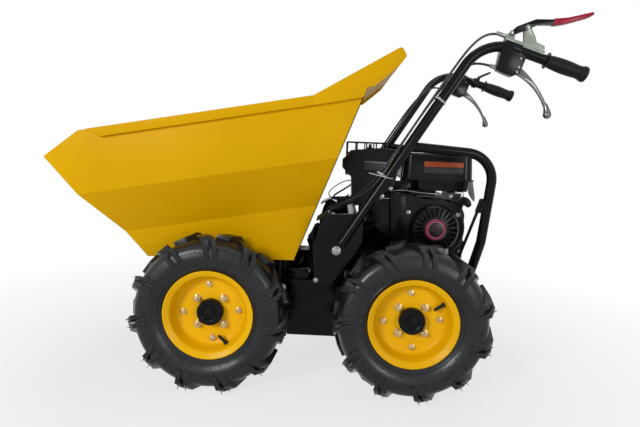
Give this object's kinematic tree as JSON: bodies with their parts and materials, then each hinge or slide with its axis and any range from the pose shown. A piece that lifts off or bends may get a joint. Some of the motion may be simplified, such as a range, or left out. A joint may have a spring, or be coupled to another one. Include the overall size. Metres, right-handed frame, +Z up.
{
  "type": "walk-behind four-wheel skip dumper",
  "caption": "Walk-behind petrol site dumper with a forward-tipping steel skip, lugged wheels, an engine behind the skip and handlebars with lever controls.",
  "frame": {"origin": "on the ground under the middle of the whole machine", "axes": "+X runs back to the operator, +Z up, the left side lies at -Y"},
  "size_m": [1.3463, 0.642, 0.9888],
  "materials": {
    "bare_steel": "satin",
    "black_paint": "gloss",
    "black_plastic": "satin",
    "black_rubber": "matt",
    "dark_steel": "heat-proof matt",
    "engine_casting": "painted matt black",
    "polished_aluminium": "polished",
    "red_plastic": "gloss",
    "red_rubber": "satin",
    "tyre_rubber": "matt",
    "yellow_paint": "gloss",
    "zinc_plate": "zinc plated"
  },
  "bodies": {
    "chassis": {"air_cleaner": "black_plastic", "axles": "bare_steel", "belt_cover": "black_paint", "carburettor": "engine_casting", "chassis_frame": "black_paint", "clutch_bracket": "zinc_plate", "clutch_lever": "black_paint", "control_cables": "black_rubber", "engine_block": "engine_casting", "engine_controls": "zinc_plate", "fan_cover": "black_paint", "fuel_cap": "black_plastic", "fuel_tank": "black_paint", "grips": "black_rubber", "guard_left": "black_paint", "guard_right": "black_paint", "hand_levers": "polished_aluminium", "handle_plates": "black_paint", "handlebars": "black_paint", "lever_housings": "black_plastic", "lever_sleeve": "red_rubber", "muffler": "dark_steel", "muffler_cage": "dark_steel", "recoil_badge": "red_plastic", "recoil_starter": "black_paint", "skip_buffers": "black_rubber", "skip_latch": "black_paint", "skip_pivot_pin": "bare_steel", "starter_grip": "black_plastic", "throttle_lever": "black_paint", "transmission": "engine_casting"},
    "skip": {"skip_brackets": "yellow_paint", "skip_floor": "yellow_paint", "skip_front_plate": "yellow_paint", "skip_hood": "yellow_paint", "skip_rear_plate": "yellow_paint", "skip_rims": "yellow_paint", "skip_sides": "yellow_paint"},
    "wheel_front_left": {"tyre_front_left": "tyre_rubber", "rim_front_left": "yellow_paint", "hub_front_left": "black_paint"},
    "wheel_front_right": {"tyre_front_right": "tyre_rubber", "rim_front_right": "yellow_paint", "hub_front_right": "black_paint"},
    "wheel_rear_left": {"tyre_rear_left": "tyre_rubber", "rim_rear_left": "yellow_paint", "hub_rear_left": "black_paint"},
    "wheel_rear_right": {"tyre_rear_right": "tyre_rubber", "rim_rear_right": "yellow_paint", "hub_rear_right": "black_paint"}
  },
  "joints": [
    {"name": "skip_tip", "type": "hinge", "parent": "chassis", "child": "skip", "pos_m": [-0.305, 0, 0.3], "axis": [0, -1, 0], "range_deg": [0, 70]},
    {"name": "wheel_front_left_roll", "type": "hinge", "parent": "chassis", "child": "wheel_front_left", "pos_m": [-0.2375, -0.2625, 0.2075], "axis": [0, 1, 0], "continuous": true},
    {"name": "wheel_front_right_roll", "type": "hinge", "parent": "chassis", "child": "wheel_front_right", "pos_m": [-0.2375, 0.2625, 0.2075], "axis": [0, 1, 0], "continuous": true},
    {"name": "wheel_rear_left_roll", "type": "hinge", "parent": "chassis", "child": "wheel_rear_left", "pos_m": [0.2875, -0.2625, 0.2075], "axis": [0, 1, 0], "continuous": true},
    {"name": "wheel_rear_right_roll", "type": "hinge", "parent": "chassis", "child": "wheel_rear_right", "pos_m": [0.2875, 0.2625, 0.2075], "axis": [0, 1, 0], "continuous": true}
  ]
}
